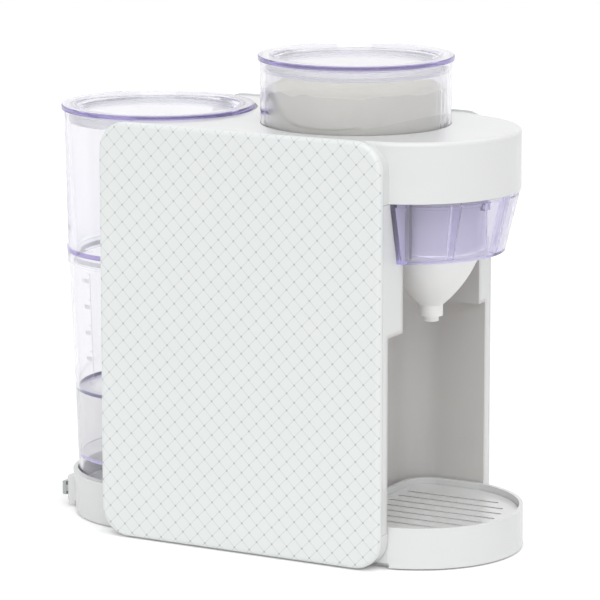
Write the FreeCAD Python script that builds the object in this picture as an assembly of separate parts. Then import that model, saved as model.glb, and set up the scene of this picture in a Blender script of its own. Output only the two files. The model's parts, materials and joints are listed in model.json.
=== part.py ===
import FreeCAD, Part
import math
import os

from FreeCAD import Vector

os.makedirs("parts", exist_ok=True)

# Baby formula maker on a counter. +X is the front, +Z is up, and the origin is on the
# counter under the middle of the machine. All sizes are in millimetres.

# Body, seen from the side a tall rounded rectangle between two plates
body_rear = -101.5
body_front = 114.0
body_half_width = 79.5
body_bottom = 1.0
body_top = 287.0
body_corner_radius = 20.0
body_wall = 2.5
base_joint_z = 25.0
head_joint_z = 246.4
seam = 0.3

# Side panels, the patterned plates on both sides
panel_thickness = 4.2
panel_gap = 0.3
panel_lip = 1.0
panel_edge_radius = 3.2

# Head, the round nose that carries the funnel
head_x = 93.0
head_radius = 74.5
head_edge_radius = 3.0
deck_thickness = 2.5

# Bottle bay, the opening under the head
bay_back = 58.0
bay_low_half_width = 72.0
bay_high_near = -51.0
bay_high_far = 62.4
bay_step_z = 157.0
bay_corner_radius = 22.0
liner_wall = 2.2

# Base, with the tank seat behind and the tray runway in front
base_rear_x = -98.0
base_rear_draft = 1.6
base_rim_z = 31.0
seat_floor_z = 20.0
seat_clearance = 0.7
rest_gap = 0.3
cover_thickness = 2.2
cover_bottom = 1.5
cover_margin = 4.0
foot_radius = 8.0
foot_stud_radius = 2.2

# Drip tray and grille
tray_x = 99.4
tray_radius = 72.0
tray_half_width = 70.6
tray_rear = 62.0
tray_rim_z = 29.0
tray_wall = 2.6
tray_corner_radius = 21.0
tray_bottom = 4.2
tray_floor = 2.0
grille_top = 24.6
grille_thickness = 2.4
grille_slot_radius = 57.0
grille_slot_pitch = 13.5
grille_slot_width = 3.4
grille_slots_each_side = 3

# Water tank, two clear vessels one on the other
tank_x = -104.4
tank_skirt_radius = 57.5
base_rear_radius = tank_skirt_radius + 9.3
tank_floor_z = 41.0
tank_floor_thickness = 2.4
tank_joint_z = 187.0
tank_joint_radius = 63.0
tank_band_height = 7.6
tank_ring_thickness = 3.2
tank_rim_z = 286.1
tank_rim_radius = tank_joint_radius + 2.0
tank_wall = 2.2
tank_spigot_height = 7.0
tank_spigot_wall = 1.8
spigot_gap = 0.9
lid_gap = 0.3
tank_lid_radius = tank_rim_radius + 2.0
lid_flange = 3.0
lid_dish_depth = 4.6
lid_dish_margin = 10.5
lid_skin = 2.0
lid_plug_height = 8.5
lid_plug_wall = 2.2
lid_seal_thickness = 0.9
lid_seal_height = 5.0

# Tank valve and its seat in the base
valve_radius = 12.0
valve_drop = 12.0
valve_rise = 6.0
valve_wall = 2.0
poppet_radius = 6.0
poppet_stem_radius = 2.0
poppet_travel = 3.0
valve_port_radius = 4.2
seat_cup_wall = 2.4
seat_cup_height = 13.0
seat_pin_radius = 1.6

# Powder container, double walled, on top of the head
powder_x = 51.4
jar_rim_radius = 65.0
jar_foot_radius = 64.0
jar_wall = 1.9
jar_bottom = 256.0
jar_floor = 2.5
jar_rim_z = 329.7
hopper_radius = 61.2
hopper_wall = 1.5
hopper_mouth_radius = 50.5
hopper_rim_drop = 5.0
powder_lid_radius = 66.4
well_clearance = 0.6
well_wall = 2.2
well_ledge_radius = 58.0
well_ledge_thickness = 2.2
well_ledge_reach = 34.0

# Dosing wheel and its gear drive
dose_radius = 53.0
dose_height = 7.6
dose_gap = 0.3
dose_pockets = 8
dose_pocket_radius = 8.6
dose_pocket_circle = 42.0
dose_bearing_radius = 8.0
outlet_radius = 9.0
stirrer_height = 20.0
stirrer_arm_radius = 1.8
stirrer_reach = 44.0
gear_module = 1.0
gear_height = 4.0
gear_bottom = 250.0
drive_teeth = 42
idler_teeth = 28
pinion_teeth = 14
gear_backlash = 0.16
gear_axle_radius = 3.0
bearing_clearance = 0.05
dog_across = 7.0
dog_clearance = 0.3
motor_radius = 17.0
motor_height = 34.0

# Funnel guard and mixing funnel
funnel_x = 109.0
guard_height = 41.4
guard_bottom_radius = 64.0
guard_wall = 2.2
guard_flange = 2.4
guard_face_gap = 0.3
guard_rib_count = 5
guard_rib_pitch = 37.5
guard_rib_width_top = 7.0
guard_rib_width_bottom = 3.5
guard_rib_depth = 5.0
guard_side_gap = 5.4
guard_rear = 68.0
rail_flange_width = 3.0
rail_clearance = 0.3
rail_rear = 78.0
funnel_top = 242.5
funnel_radius = 35.5
funnel_wall = 1.8
funnel_collar_bottom = 212.0
funnel_flange_radius = 39.0
funnel_lug_radius = 41.5
funnel_lugs = 3
spout_radius = 8.0
spout_top = 167.4
spout_step = 160.0
spout_tip = 156.3
spout_tip_radius = 5.2
spout_bore_radius = 3.8
nozzle_radius = 26.0
nozzle_width = 7.0
nozzle_height = 3.0
nozzle_holes = 12
nozzle_hole_radius = 1.2

# Controls on the far side, and the power entry at the rear
control_x = 20.0
control_z = 205.0
control_length = 124.0
control_height = 44.0
control_recess = 1.6
display_margin = 4.0
display_height = 22.0
button_radius = 7.0
button_pitch = 19.0
button_count = 3
start_radius = 11.0
button_proud = 1.2
button_travel = 1.5
button_clearance = 0.3
stem_radius = 2.2
stem_gap = 0.3
board_gap = 2.0
switch_y = -20.0
switch_z = 12.5
switch_collar_height = 21.0
switch_collar_width = 15.0
switch_collar_x = base_rear_x - base_rear_radius - 1.5
rocker_tip_x = switch_collar_x - 4.7
rocker_height = 9.6
rocker_width = 10.4
rocker_gap = 1.2
inlet_y = 24.0
inlet_z = 12.0
inlet_width = 24.0
inlet_height = 16.0

# Inner workings
pump_radius = 16.0
pump_length = 52.0
pump_rear = -18.0
pump_y = -38.0
heater_radius = 21.0
heater_height = 118.0
heater_x = 18.0
heater_y = 26.0
heater_foot = 8.0
heater_neck = 8.0
tube_radius = 3.0
tube_bore = 2.0
hose_low_z = 8.5
hose_riser_x = -35.0
board_thickness = 1.6
main_board_rear = -26.0
main_board_front = 44.0
main_board_bottom = 110.0
main_board_top = 200.0
main_board_gap = 4.4
standoff_radius = 3.0
standoff_inset = 6.0
module_depth = 28.0
screw_radius = 1.9
screw_head_radius = 3.6


# Building blocks
def box(x0, x1, y0, y1, z0, z1):
    return Part.makeBox(x1 - x0, y1 - y0, z1 - z0, Vector(x0, y0, z0))


def post(radius, z0, z1, x=0.0, y=0.0):
    return Part.makeCylinder(radius, z1 - z0, Vector(x, y, z0))


def cone(r0, r1, z0, z1, x=0.0, y=0.0):
    return Part.makeCone(r0, r1, z1 - z0, Vector(x, y, z0))


def tube(radius, bore, z0, z1, x=0.0, y=0.0):
    return post(radius, z0, z1, x, y).cut(post(bore, z0 - 1, z1 + 1, x, y))


def rod_x(radius, x0, x1, y, z):
    return Part.makeCylinder(radius, x1 - x0, Vector(x0, y, z), Vector(1, 0, 0))


def rod_y(radius, y0, y1, x, z):
    return Part.makeCylinder(radius, y1 - y0, Vector(x, y0, z), Vector(0, 1, 0))


def turned(profile, x=0.0, y=0.0):
    """A closed outline of (radius, height) points, turned about an upright axis."""
    points = [Vector(r, 0, z) for r, z in profile]
    face = Part.Face(Part.makePolygon(points + points[:1]))
    solid = face.revolve(Vector(0, 0, 0), Vector(0, 0, 1), 360)
    solid.translate(Vector(x, y, 0))
    return solid


def side_prism(x0, x1, z0, z1, radius, y0, y1):
    """A rounded rectangle in the XZ plane, pulled from y0 to y1."""
    block = box(x0, x1, y0, y1, z0, z1)
    edges = [e for e in block.Edges if abs(e.BoundBox.YLength - (y1 - y0)) < 1e-6]
    return block.makeFillet(radius, edges)


def upright_prism(x0, x1, y0, y1, radius, z0, z1, back_only=False):
    """A rectangle with rounded upright corners."""
    block = box(x0, x1, y0, y1, z0, z1)
    edges = [e for e in block.Edges if abs(e.BoundBox.ZLength - (z1 - z0)) < 1e-6]
    if back_only:
        edges = [e for e in edges if e.BoundBox.XMax < (x0 + x1) / 2]
    return block.makeFillet(radius, edges)


def fuse(*shapes):
    whole = shapes[0]
    for shape in shapes[1:]:
        whole = whole.fuse(shape)
    return whole.removeSplitter()


def turned_copies(shape, count, x, y, step=None):
    """Copies of a shape about an upright axis."""
    step = step or 360.0 / count
    copies = []
    for index in range(count):
        copy = shape.copy()
        copy.rotate(Vector(x, y, 0), Vector(0, 0, 1), step * index)
        copies.append(copy)
    return copies


def rounded(shape, radius, pick):
    """Round the edges that the test picks."""
    edges = [e for e in shape.Edges if pick(e)]
    return shape.makeFillet(radius, edges)


def save(name, shape):
    solids = shape.Solids
    shape = solids[0] if len(solids) == 1 else Part.makeCompound(solids)
    shape.exportStep("parts/" + name + ".step")
    print(name, len(solids), round(shape.Volume / 1000.0, 2), "cm3", shape.isValid())


# Shared outlines
recess_radius = tank_lid_radius + 2.3
recess_wall = recess_radius + body_wall
inner_half_width = body_half_width - body_wall
opening_low = bay_low_half_width + liner_wall
opening_near = bay_high_near - liner_wall
opening_far = bay_high_far + liner_wall
well_radius = jar_foot_radius + well_clearance
guard_near = bay_high_near + guard_side_gap
guard_far = bay_high_far - guard_side_gap
dose_x = powder_x + dose_pocket_circle
jar_inside = jar_bottom + jar_floor
wheel_bottom = jar_inside + dose_gap
wheel_top = wheel_bottom + dose_height
idler_x = powder_x - gear_module * (drive_teeth + idler_teeth) / 2
pinion_x = idler_x - gear_module * (idler_teeth + pinion_teeth) / 2
tank_floor_top = tank_floor_z + tank_floor_thickness


def body_envelope(inset=0.0):
    return side_prism(
        body_rear + inset, body_front - inset, body_bottom + inset, body_top - inset,
        body_corner_radius - inset, -body_half_width + inset, body_half_width - inset)


def head_prism(inset, z0, z1):
    nose = post(head_radius - inset, z0, z1, head_x)
    root = box(bay_back, head_x, -head_radius + inset, head_radius - inset, z0, z1)
    return nose.fuse(root)


# Base
def base_shell():
    low = body_envelope().common(box(-200, 200, -100, 100, 0, base_joint_z))
    rear = cone(base_rear_radius - base_rear_draft, base_rear_radius, body_bottom, base_rim_z, base_rear_x)
    rim_cut = box(body_rear - seam, 0, -100, 100, base_joint_z, base_rim_z + 1)
    shell = low.fuse(rear.cut(rim_cut))
    ceiling = base_joint_z - body_wall
    hollow = body_envelope(body_wall).common(box(-200, bay_back - body_wall, -100, 100, 0, ceiling))
    hollow = hollow.fuse(box(body_rear + body_wall, bay_back - body_wall,
                             -inner_half_width, inner_half_width, 0, 8))
    seat_ceiling = seat_floor_z - body_wall
    rear_hollow = post(base_rear_radius - base_rear_draft - body_wall, 0, seat_ceiling, base_rear_x)
    seat_round = post(tank_skirt_radius + seat_clearance + body_wall, seat_ceiling, base_joint_z, tank_x)
    hollow = hollow.cut(seat_round).fuse(rear_hollow)
    shell = shell.cut(hollow)
    shell = shell.cut(post(tank_skirt_radius + seat_clearance, seat_floor_z, base_rim_z + 1, tank_x))
    tray_way = tray_half_width + 0.7
    shell = shell.cut(box(bay_back, body_front + 1, -tray_way, tray_way, 0, base_joint_z + 1))
    tongue_way = tray_half_width - cover_margin + 0.3
    shell = shell.cut(box(bay_back - 5, bay_back + 1, -tongue_way, tongue_way, 0, cover_bottom + cover_thickness + 0.1))
    shell = shell.cut(post(valve_port_radius, 0, seat_floor_z + 1, tank_x))
    shell = shell.cut(post(tube_radius + 0.3, 0, base_joint_z + 1, hose_riser_x, pump_y))
    collar_gap = switch_collar_width / 2 + 0.2
    shell = shell.cut(box(-170, base_rear_x - 40, switch_y - collar_gap, switch_y + collar_gap,
                          switch_z - 8, switch_z + 4.6))
    shell = shell.cut(box(-170, base_rear_x - 40, inlet_y - inlet_width / 2, inlet_y + inlet_width / 2,
                          inlet_z - inlet_height / 2, inlet_z + 5.2))
    for x, y in cover_screws():
        shell = shell.fuse(post(4.5, cover_bottom + cover_thickness, base_joint_z - 1, x, y))
        shell = shell.cut(post(screw_radius + 0.05, 0, 18, x, y))
    save("base_shell", shell.removeSplitter())


def cover_screws():
    return [(-70.0, -66.0), (-70.0, 66.0), (40.0, -68.0), (40.0, 68.0)]


def foot_places():
    return [(-122.0, -38.0), (-122.0, 38.0), (128.0, -40.0), (128.0, 40.0)]


def base_cover():
    top = cover_bottom + cover_thickness
    middle = box(body_rear + body_corner_radius, bay_back - body_wall - 0.2,
                 -inner_half_width + 0.3, inner_half_width - 0.3, cover_bottom, top)
    rear = post(base_rear_radius - base_rear_draft - body_wall - 0.3, cover_bottom, top, base_rear_x)
    rear = rear.cut(box(body_rear + body_corner_radius, 0, -100, 100, 0, 10))
    tongue = post(tray_radius - cover_margin, cover_bottom, top, tray_x)
    tongue = tongue.fuse(box(50, tray_x, -tray_half_width + cover_margin, tray_half_width - cover_margin,
                             cover_bottom, top))
    tongue = tongue.common(box(50, 200, -tray_half_width + cover_margin, tray_half_width - cover_margin, 0, 10))
    plate = fuse(middle, rear, tongue)
    for x, y in foot_places():
        plate = plate.cut(post(foot_stud_radius + 0.05, 0, 10, x, y))
    for x, y in cover_screws():
        plate = plate.cut(post(screw_radius + 0.2, 0, 10, x, y))
    save("base_cover", plate)


def rubber_feet():
    feet = []
    for x, y in foot_places():
        pad = cone(foot_radius - 0.6, foot_radius, 0, cover_bottom, x, y)
        feet.append(pad.fuse(post(foot_stud_radius, cover_bottom, cover_bottom + cover_thickness, x, y)))
    save("rubber_feet", Part.makeCompound(feet))


def base_screws():
    screws = []
    for x, y in cover_screws():
        head = post(screw_head_radius, cover_bottom - 0.9, cover_bottom, x, y)
        screws.append(head.fuse(post(screw_radius, cover_bottom, 14, x, y)))
    save("base_screws", Part.makeCompound(screws))


# Housing
def mid_housing():
    z0 = base_joint_z + seam
    z1 = head_joint_z - seam
    outer = body_envelope().common(box(-200, 200, -100, 100, z0, z1))
    recess = post(recess_radius, 0, 300, tank_x)
    inner = box(body_rear + body_wall, body_front - body_wall, -inner_half_width, inner_half_width, z0 - 1, z1 + 1)
    inner = inner.cut(post(recess_wall, 0, 300, tank_x))
    shell = outer.cut(recess).cut(inner)
    shell = shell.cut(box(body_front - 6, body_front + 1, -opening_low, opening_low, z0 - 1, bay_step_z + liner_wall))
    shell = shell.cut(box(body_front - 6, body_front + 1, opening_near, opening_far, bay_step_z, z1 + 1))
    for x in button_places() + [start_x]:
        shell = shell.cut(rod_y(stem_radius + button_clearance, 0, 100, x, control_z))
    shell = shell.cut(box(display_x - display_length / 2 + 2, display_x + display_length / 2 - 2, 0, 100,
                          control_z - display_height / 2 + 2, control_z + display_height / 2 - 2))
    for x in (main_board_rear + standoff_inset, main_board_front - standoff_inset):
        for z in (main_board_bottom + standoff_inset, main_board_top - standoff_inset):
            shell = shell.fuse(rod_y(standoff_radius, -inner_half_width - 1, -inner_half_width + main_board_gap, x, z))
    for x in (control_x - control_length / 2 + standoff_inset, control_x + control_length / 2 - standoff_inset):
        for z in (control_z - control_height / 2 + standoff_inset, control_z + control_height / 2 - standoff_inset):
            shell = shell.fuse(rod_y(standoff_radius, inner_half_width - board_gap, inner_half_width + 1, x, z))
    save("mid_housing", shell.removeSplitter())


def bay_volume(grow, z_low, z_high):
    low = upright_prism(bay_back - grow, body_front + 30, -bay_low_half_width - grow, bay_low_half_width + grow,
                        bay_corner_radius + grow, z_low, bay_step_z + grow, True)
    high = upright_prism(bay_back - grow, body_front + 30, bay_high_near - grow, bay_high_far + grow,
                         bay_corner_radius + grow, bay_step_z - 5, z_high, True)
    return low.fuse(high)


def bay_liner():
    z0 = base_joint_z + seam
    z1 = head_joint_z - seam
    shell = bay_volume(liner_wall, z0, z1).cut(bay_volume(0.0, z0 - 1, z1 + 1))
    shell = shell.common(box(0, body_front, -100, 100, 0, 300))
    shell = shell.cut(rod_x(3.05, bay_back - 5, bay_back + 5, 0, 70))
    save("bay_liner", shell.removeSplitter())


def top_shell():
    z0 = head_joint_z
    outer = body_envelope().common(box(-200, 200, -100, 100, z0, 300)).fuse(head_prism(0, z0, body_top))
    outer = outer.removeSplitter()
    outer = rounded(outer, head_edge_radius, lambda e: e.BoundBox.ZMin > body_top - 0.01
                    and e.BoundBox.XMax > body_front + 20)
    inner = body_envelope(body_wall).common(box(-200, 200, -100, 100, z0 - 1, body_top - deck_thickness))
    inner = inner.fuse(box(body_rear + body_wall, body_front - body_wall - 18, -inner_half_width, inner_half_width,
                           z0 - 1, body_top - body_corner_radius))
    inner = inner.fuse(head_prism(body_wall, z0 - 1, body_top - deck_thickness))
    inner = inner.cut(post(recess_wall, 0, 300, tank_x))
    inner = inner.cut(post(well_radius + well_wall, jar_bottom, 300, powder_x))
    shell = outer.cut(inner).cut(post(recess_radius, 0, 300, tank_x))
    shell = shell.cut(post(well_radius, jar_bottom - 1, 300, powder_x))
    ledge_top = jar_bottom - rest_gap
    ledge = tube(well_radius + well_wall, well_ledge_radius, ledge_top - well_ledge_thickness, ledge_top, powder_x)
    ledge = ledge.common(box(powder_x - well_ledge_reach, powder_x + well_ledge_reach, -100, 100, 0, 300))
    collar = tube(well_radius + well_wall, well_radius, ledge_top - 1, jar_bottom + 1, powder_x)
    save("top_shell", fuse(shell, ledge, collar))


def head_floor():
    z0 = head_joint_z
    z1 = z0 + deck_thickness
    fit = body_wall + seam
    plate = fuse(post(head_radius - fit, z0, z1, head_x),
                 box(bay_back - 6, head_x, -head_radius + fit, head_radius - fit, z0, z1),
                 box(-32, bay_back, -inner_half_width + seam, inner_half_width - seam, z0, z1))
    plate = plate.cut(post(outlet_radius + 2.2, z0 - 1, z1 + 1, dose_x))
    plate = plate.cut(post(gear_axle_radius + bearing_clearance, z0 - 1, z1 + 1, powder_x))
    plate = plate.cut(post(5.0, z0 - 1, z1 + 1, pinion_x))
    for side in (-1, 1):
        plate = plate.cut(post(tube_radius + 0.2, z0 - 1, z1 + 1, funnel_x, side * nozzle_radius))
    plate = plate.cut(post(tube_radius + 3.5, z0 - 1, z1 + 1, heater_x + tube_radius, heater_y))
    save("head_floor", plate.removeSplitter())


# Side panels
def side_panel(side):
    y_in = body_half_width + panel_gap
    y_out = y_in + panel_thickness
    plate = side_prism(body_rear, body_front, body_bottom, body_top + panel_lip, body_corner_radius, y_in, y_out)
    plate = rounded(plate, panel_edge_radius, lambda e: e.BoundBox.YMin > y_out - 0.01)
    if side < 0:
        plate = plate.mirror(Vector(0, 0, 0), Vector(0, 1, 0))
    return plate


def near_side_panel():
    save("near_side_panel", side_panel(-1))


def control_frame(grow, y0, y1):
    return side_prism(control_x - control_length / 2 - grow, control_x + control_length / 2 + grow,
                      control_z - control_height / 2 - grow, control_z + control_height / 2 + grow,
                      8.0 + grow, y0, y1)


def far_side_panel():
    panel = side_panel(1).cut(control_frame(0.2, 0, 100))
    save("far_side_panel", panel)


panel_face = body_half_width + panel_gap + panel_thickness
control_face = panel_face - control_recess


def button_places():
    first = control_x + control_length / 2 - 13.0
    return [first - button_pitch * index for index in range(button_count)]


start_x = control_x - control_length / 2 + 16.0
display_room = button_places()[-1] - button_radius - start_x - start_radius
display_x = start_x + start_radius + display_room / 2
display_length = display_room - 2 * display_margin


def control_bezel():
    plate = control_frame(0.0, body_half_width, control_face)
    window = box(display_x - display_length / 2, display_x + display_length / 2, 0, 100,
                 control_z - display_height / 2, control_z + display_height / 2)
    plate = plate.cut(window)
    for x in button_places():
        plate = plate.cut(rod_y(button_radius + button_clearance, 0, 100, x, control_z))
    plate = plate.cut(rod_y(start_radius + button_clearance, 0, 100, start_x, control_z))
    save("control_bezel", plate)


def display_window():
    pane = box(display_x - display_length / 2 + 0.1, display_x + display_length / 2 - 0.1,
               body_half_width + 1.0, control_face - 0.2,
               control_z - display_height / 2 + 0.1, control_z + display_height / 2 - 0.1)
    save("display_window", pane)


def button(name, x, radius):
    cap = rod_y(radius, body_half_width + 2.0, control_face + button_proud, x, control_z)
    cap = cap.makeChamfer(0.7, [e for e in cap.Edges if e.BoundBox.YMin > control_face + button_proud - 0.01])
    stem_end = inner_half_width - board_gap + button_travel + stem_gap
    save(name, cap.fuse(rod_y(stem_radius, stem_end, body_half_width + 3.0, x, control_z)).removeSplitter())


def control_board():
    y1 = inner_half_width - board_gap
    board = box(control_x - control_length / 2 + 2, control_x + control_length / 2 - 2, y1 - board_thickness, y1,
                control_z - control_height / 2 + 2, control_z + control_height / 2 - 2)
    save("control_board", board)


# Gears
def gear(teeth, x, z0, height, bore, phase):
    """A spur gear with trapezoid teeth, thinned a little so that the mesh runs free."""
    pitch_radius = gear_module * teeth / 2
    outer = pitch_radius + gear_module
    root = pitch_radius - 1.25 * gear_module
    pitch_angle = 2 * math.pi / teeth
    half_tooth = pitch_angle / 4 - gear_backlash / pitch_radius / 2
    slope = math.tan(math.radians(20.0))
    points = []
    for index in range(teeth):
        middle = phase + index * pitch_angle
        for radius, sign in ((root, -1), (outer, -1), (outer, 1), (root, 1)):
            spread = half_tooth - (radius - pitch_radius) * slope / pitch_radius
            angle = middle + sign * spread
            points.append(Vector(radius * math.cos(angle), radius * math.sin(angle), 0))
    face = Part.Face(Part.makePolygon(points + points[:1]))
    wheel = face.extrude(Vector(0, 0, height))
    wheel.translate(Vector(x, 0, z0))
    return wheel.cut(post(bore, z0 - 1, z0 + height + 1, x))


def hexagon(across, z0, z1, x):
    corner = across / math.sqrt(3)
    points = [Vector(x + corner * math.cos(math.pi * i / 3), corner * math.sin(math.pi * i / 3), z0)
              for i in range(7)]
    return Part.Face(Part.makePolygon(points)).extrude(Vector(0, 0, z1 - z0))


def drive_gear():
    wheel = gear(drive_teeth, powder_x, gear_bottom, gear_height, 2.0, 0.0)
    stub = post(gear_axle_radius, head_joint_z + 0.3, gear_bottom, powder_x)
    dog = hexagon(dog_across, gear_bottom, wheel_bottom + 4.0, powder_x)
    save("drive_gear", fuse(wheel, stub, dog))


def idler_gear():
    half_pitch = math.pi / idler_teeth
    save("idler_gear", gear(idler_teeth, idler_x, gear_bottom, gear_height, 2.0 + bearing_clearance, half_pitch))


def idler_axle():
    pin = post(2.0, head_joint_z + deck_thickness, gear_bottom + gear_height + 0.6, idler_x)
    save("idler_axle", pin)


def motor_pinion():
    save("motor_pinion", gear(pinion_teeth, pinion_x, gear_bottom, gear_height, 1.5, 0.0))


def motor_shaft():
    shaft = post(1.5, head_joint_z - 6.0, gear_bottom + gear_height, pinion_x)
    save("motor_shaft", shaft)


def dosing_motor():
    top = head_joint_z
    can = fuse(post(motor_radius, top - motor_height, top - 8.0, pinion_x),
               post(motor_radius + 2.0, top - 8.0, top - 1.5, pinion_x),
               post(4.0, top - 1.5, top + deck_thickness - 0.3, pinion_x),
               box(pinion_x - 26, pinion_x + 26, -7, 7, top - 1.5, top))
    can = can.cut(post(1.5 + bearing_clearance, top - 6.5, top + 10, pinion_x))
    save("dosing_motor", can)


# Powder container
def powder_jar():
    taper = (jar_rim_radius - jar_foot_radius) / (jar_rim_z - jar_bottom)
    inside_foot = jar_foot_radius - jar_wall + taper * jar_floor
    shell = turned([(0, jar_bottom), (jar_foot_radius, jar_bottom), (jar_rim_radius, jar_rim_z),
                    (jar_rim_radius - jar_wall, jar_rim_z), (inside_foot, jar_inside), (0, jar_inside)], powder_x)
    shell = shell.cut(post(outlet_radius, jar_bottom - 1, jar_inside + 1, dose_x))
    shell = shell.cut(post(dose_bearing_radius + bearing_clearance, jar_bottom - 1, jar_inside + 1, powder_x))
    save("powder_jar", shell)


def powder_hopper():
    rim_z = jar_rim_z - hopper_rim_drop
    knee = wheel_top + 6.0
    lip = wheel_top + 0.4
    shell = turned([(hopper_mouth_radius, lip), (hopper_radius, lip), (hopper_radius, rim_z),
                    (hopper_radius - hopper_wall, rim_z), (hopper_radius - hopper_wall, knee),
                    (hopper_mouth_radius, lip + 1.6)], powder_x)
    scraper = box(powder_x + 8.4, powder_x + hopper_radius - 1, -12, 12, lip, lip + 1.2)
    brim = tube(hopper_radius + 1.7, hopper_radius - 0.2, rim_z - 2.0, rim_z, powder_x)
    save("powder_hopper", fuse(shell, scraper, brim))


def dosing_wheel():
    wheel = post(dose_radius, wheel_bottom, wheel_top, powder_x)
    hub = post(dose_bearing_radius, jar_bottom + 0.2, wheel_top, powder_x)
    pocket = post(dose_pocket_radius, wheel_bottom - 1, wheel_top + 1, dose_x)
    wheel = wheel.fuse(hub)
    for copy in turned_copies(pocket, dose_pockets, powder_x, 0):
        wheel = wheel.cut(copy)
    socket = hexagon(dog_across + 2 * dog_clearance, jar_bottom, wheel_bottom + 4.6, powder_x)
    save("dosing_wheel", wheel.cut(socket).removeSplitter())


def stirrer():
    z0 = wheel_top
    z1 = z0 + stirrer_height
    hub = cone(7.5, 4.0, z0, z1, powder_x)
    arm = Part.makeCylinder(stirrer_arm_radius, stirrer_reach, Vector(powder_x, 0, z1 - 4), Vector(1, 0, 0))
    tine_z = z0 + 4.5
    tine = post(stirrer_arm_radius, tine_z, z1 - 4, powder_x + stirrer_reach - 3)
    arms = []
    for copy in turned_copies(arm.fuse(tine), 3, powder_x, 0):
        arms.append(copy)
    save("stirrer", fuse(hub, *arms))


# Lids of the tank and of the powder container
def lid(flange_radius, bore, rim_z, x):
    """A clear lid: thick flange, sunk dish and a plug skirt that reaches into the vessel."""
    low = rim_z + lid_gap
    top = low + lid_flange
    dish = flange_radius - lid_dish_margin
    plug = bore - lid_seal_thickness - 0.2
    sink = top - lid_dish_depth
    body = turned([(0, sink - lid_skin), (dish - lid_plug_wall, sink - lid_skin),
                   (dish - 1.0, low), (plug - lid_plug_wall, low), (plug - lid_plug_wall, low - lid_plug_height),
                   (plug, low - lid_plug_height), (plug, low), (flange_radius, low), (flange_radius, top - 0.6),
                   (flange_radius - 0.8, top), (dish + 1.4, top), (dish - lid_plug_wall, sink), (0, sink)], x)
    return body


def lid_seal(bore, rim_z, x):
    low = rim_z + lid_gap
    plug = bore - lid_seal_thickness - 0.2
    z0 = low - lid_plug_height + 1.2
    band = tube(plug + lid_seal_thickness, plug, z0, z0 + lid_seal_height, x)
    return band




def upper_inside(z):
    """Inner radius of the upper vessel at a height."""
    z0 = tank_joint_z + tank_ring_thickness + 2.0
    r0 = tank_joint_radius - tank_wall - spigot_gap - tank_spigot_wall
    r1 = tank_rim_radius - tank_wall
    return r0 + (r1 - r0) * (z - z0) / (tank_rim_z - z0)


def lower_inside(z):
    """Inner radius of the lower vessel at a height."""
    taper = (tank_joint_radius - tank_skirt_radius) / (tank_joint_z - tank_floor_z)
    return tank_skirt_radius - tank_wall + taper * (z - tank_floor_z)


tank_bore = upper_inside(tank_rim_z - lid_plug_height)


def powder_lid():
    save("powder_lid", lid(powder_lid_radius, hopper_radius - hopper_wall, jar_rim_z, powder_x))


def powder_lid_seal():
    save("powder_lid_seal", lid_seal(hopper_radius - hopper_wall, jar_rim_z, powder_x))


def tank_lid():
    save("tank_lid", lid(tank_lid_radius, tank_bore, tank_rim_z, tank_x))


def tank_lid_seal():
    save("tank_lid_seal", lid_seal(tank_bore, tank_rim_z, tank_x))


# Water tank
def tank_lower_vessel():
    taper = (tank_joint_radius - tank_skirt_radius) / (tank_joint_z - tank_floor_z)
    band_z = tank_joint_z - tank_band_height
    band_radius = tank_joint_radius + 0.6
    floor_inside = lower_inside(tank_floor_top)
    foot_z = seat_floor_z + rest_gap
    shell = turned([(0, tank_floor_z), (tank_skirt_radius - tank_wall, tank_floor_z),
                    (tank_skirt_radius - tank_wall - 0.4, foot_z), (tank_skirt_radius - 0.4, foot_z),
                    (tank_skirt_radius, tank_floor_z), (tank_joint_radius - taper * tank_band_height, band_z),
                    (band_radius, band_z), (band_radius, tank_joint_z),
                    (tank_joint_radius - tank_wall, tank_joint_z),
                    (floor_inside, tank_floor_top), (0, tank_floor_top)], tank_x)
    shell = shell.cut(post(valve_radius - 2.0, tank_floor_z - 1, tank_floor_top + 1, tank_x))
    save("tank_lower_vessel", shell)


def tank_upper_vessel():
    ring_z = tank_joint_z
    ring_top = ring_z + tank_ring_thickness
    wall_in = tank_joint_radius - tank_wall
    spigot = wall_in - spigot_gap
    spigot_z = ring_z - tank_spigot_height
    shell = turned([(spigot - tank_spigot_wall, spigot_z), (spigot, spigot_z), (spigot, ring_z), (tank_joint_radius + 1.0, ring_z),
                    (tank_joint_radius + 1.0, ring_top), (tank_joint_radius + 0.2, ring_top),
                    (tank_rim_radius, tank_rim_z), (tank_rim_radius - tank_wall, tank_rim_z),
                    (spigot - tank_spigot_wall, ring_top + 2.0)], tank_x)
    save("tank_upper_vessel", shell)


def tank_mid_seal():
    spigot = tank_joint_radius - tank_wall - spigot_gap
    z0 = tank_joint_z - tank_spigot_height + 1.5
    save("tank_mid_seal", tube(lower_inside(z0) - 0.05, spigot, z0, z0 + 3.0, tank_x))


def tank_valve_body():
    neck = valve_radius - 2.0
    z0 = tank_floor_z - valve_drop
    z1 = tank_floor_top + valve_rise
    body = turned([(valve_port_radius, z0), (neck, z0), (neck, tank_floor_top), (neck + 2.0, tank_floor_top),
                   (neck + 2.0, tank_floor_top + 1.6), (neck, tank_floor_top + 1.6), (neck, z1),
                   (neck - valve_wall, z1), (neck - valve_wall, z0 + 3.0), (valve_port_radius, z0 + 3.0)], tank_x)
    for side in (-1, 1):
        body = body.cut(box(tank_x - 12, tank_x + 12, side * 3.5 - 1.5, side * 3.5 + 1.5,
                            tank_floor_top + 2.4, z1 - 1.4))
    bridge = box(tank_x - neck + 0.5, tank_x + neck - 0.5, -1.5, 1.5, z1 - 1.4, z1)
    body = body.fuse(bridge).cut(post(poppet_stem_radius + bearing_clearance, z1 - 5, z1 + 5, tank_x))
    save("tank_valve_body", body.removeSplitter())


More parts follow.
